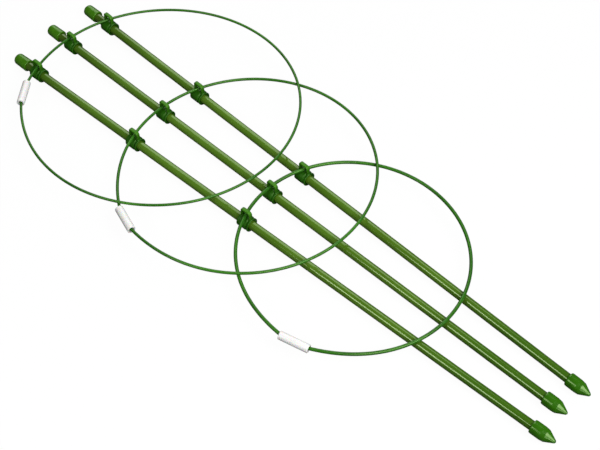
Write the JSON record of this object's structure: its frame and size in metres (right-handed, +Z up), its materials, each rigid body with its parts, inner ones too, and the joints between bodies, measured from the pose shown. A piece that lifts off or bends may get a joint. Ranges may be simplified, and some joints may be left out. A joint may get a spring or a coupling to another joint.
{
  "type": "plant trellis",
  "caption": "Folding ring trellis for pot plants: coated stakes with caps and pointed tips, joined by coated wire rings in sliding clips, lying flat.",
  "frame": {"origin": "middle of the flat trellis, on the surface that it lies on", "axes": "+X along the centre stake to its pointed tip, +Y to the right stake, +Z up out of the flat trellis"},
  "size_m": [0.6092, 0.2456, 0.0212],
  "materials": {
    "stake_coat": "glossy plastic coat with a light grain",
    "cap": "moulded, satin gloss",
    "clip": "moulded, satin gloss",
    "ring_coat": "smooth plastic coat",
    "sleeve": "milky, smooth",
    "stake_tube": "plain steel",
    "ring_wire": "drawn wire"
  },
  "bodies": {
    "centre_stake": {"centre_stake_coat": "stake_coat", "centre_stake_tube": "stake_tube", "centre_stake_top_cap": "cap", "centre_stake_tip_cap": "cap"},
    "large_centre_clip": {"large_ring_centre_clip": "clip"},
    "medium_centre_clip": {"medium_ring_centre_clip": "clip"},
    "small_centre_clip": {"small_ring_centre_clip": "clip"},
    "large_ring": {"large_ring_coat": "ring_coat", "large_ring_wire": "ring_wire", "large_ring_sleeve": "sleeve"},
    "medium_ring": {"medium_ring_coat": "ring_coat", "medium_ring_wire": "ring_wire", "medium_ring_sleeve": "sleeve"},
    "small_ring": {"small_ring_coat": "ring_coat", "small_ring_wire": "ring_wire", "small_ring_sleeve": "sleeve"},
    "medium_left_clip": {"medium_ring_left_clip": "clip"},
    "medium_right_clip": {"medium_ring_right_clip": "clip"},
    "left_stake": {"left_stake_coat": "stake_coat", "left_stake_tube": "stake_tube", "left_stake_top_cap": "cap", "left_stake_tip_cap": "cap"},
    "right_stake": {"right_stake_coat": "stake_coat", "right_stake_tube": "stake_tube", "right_stake_top_cap": "cap", "right_stake_tip_cap": "cap"},
    "large_left_clip": {"large_ring_left_clip": "clip"},
    "small_left_clip": {"small_ring_left_clip": "clip"},
    "large_right_clip": {"large_ring_right_clip": "clip"},
    "small_right_clip": {"small_ring_right_clip": "clip"}
  },
  "joints": [
    {"name": "large_ring_slide", "type": "slide", "parent": "centre_stake", "child": "large_centre_clip", "axis": [1, 0, 0], "range_m": [-0.007, 0.002]},
    {"name": "medium_ring_slide", "type": "slide", "parent": "centre_stake", "child": "medium_centre_clip", "axis": [1, 0, 0], "range_m": [-0.002, 0.03]},
    {"name": "small_ring_slide", "type": "slide", "parent": "centre_stake", "child": "small_centre_clip", "axis": [1, 0, 0], "range_m": [-0.005, 0.04]},
    {"name": "large_ring_fold", "type": "hinge", "parent": "large_centre_clip", "child": "large_ring", "pos_m": [-0.27447, -0.00244, 0.015], "axis": [0, -1, 0], "range_deg": [0, 90]},
    {"name": "medium_ring_fold", "type": "hinge", "parent": "medium_centre_clip", "child": "medium_ring", "pos_m": [-0.14757, -0.00244, 0.015], "axis": [0, -1, 0], "range_deg": [0, 90]},
    {"name": "small_ring_fold", "type": "hinge", "parent": "small_centre_clip", "child": "small_ring", "pos_m": [-0.01397, -0.00244, 0.015], "axis": [0, -1, 0], "range_deg": [0, 90]},
    {"name": "medium_left_clip_turn", "type": "hinge", "parent": "medium_ring", "child": "medium_left_clip", "pos_m": [-0.14033, -0.04355, 0.01511], "axis": [0, -1, 0], "range_deg": [-91, 0]},
    {"name": "medium_right_clip_turn", "type": "hinge", "parent": "medium_ring", "child": "medium_right_clip", "pos_m": [-0.14108, 0.03516, 0.01509], "axis": [0, -1, 0], "range_deg": [-91, 0]},
    {"name": "left_stake_slide", "type": "slide", "parent": "medium_left_clip", "child": "left_stake", "axis": [0.9994, 0.0346, 0], "range_m": [-0.03, 0.002]},
    {"name": "right_stake_slide", "type": "slide", "parent": "medium_right_clip", "child": "right_stake", "axis": [0.9996, -0.0281, 0], "range_m": [-0.03, 0.002]},
    {"name": "large_left_clip_slide", "type": "slide", "parent": "left_stake", "child": "large_left_clip", "axis": [0.9994, 0.0346, 0], "range_m": [-0.007, 0.002]},
    {"name": "small_left_clip_slide", "type": "slide", "parent": "left_stake", "child": "small_left_clip", "axis": [0.9994, 0.0346, 0], "range_m": [-0.005, 0.04]},
    {"name": "large_right_clip_slide", "type": "slide", "parent": "right_stake", "child": "large_right_clip", "axis": [0.9996, -0.0281, 0], "range_m": [-0.007, 0.002]},
    {"name": "small_right_clip_slide", "type": "slide", "parent": "right_stake", "child": "small_right_clip", "axis": [0.9996, -0.0281, 0], "range_m": [-0.005, 0.04]}
  ],
  "couplings": [
    {"joint": "large_ring_fold", "follows": "medium_ring_fold", "ratio": 1},
    {"joint": "small_ring_fold", "follows": "medium_ring_fold", "ratio": 1},
    {"joint": "medium_left_clip_turn", "follows": "medium_ring_fold", "ratio": -1.0047},
    {"joint": "medium_right_clip_turn", "follows": "medium_ring_fold", "ratio": -1.0002},
    {"joint": "left_stake_slide", "follows": "medium_ring_slide", "ratio": -0.9994},
    {"joint": "right_stake_slide", "follows": "medium_ring_slide", "ratio": -0.9996},
    {"joint": "large_left_clip_slide", "follows": "large_ring_slide", "ratio": 0.993},
    {"joint": "large_right_clip_slide", "follows": "large_ring_slide", "ratio": 0.996},
    {"joint": "small_left_clip_slide", "follows": "small_ring_slide", "ratio": 0.994},
    {"joint": "small_right_clip_slide", "follows": "small_ring_slide", "ratio": 0.995}
  ]
}
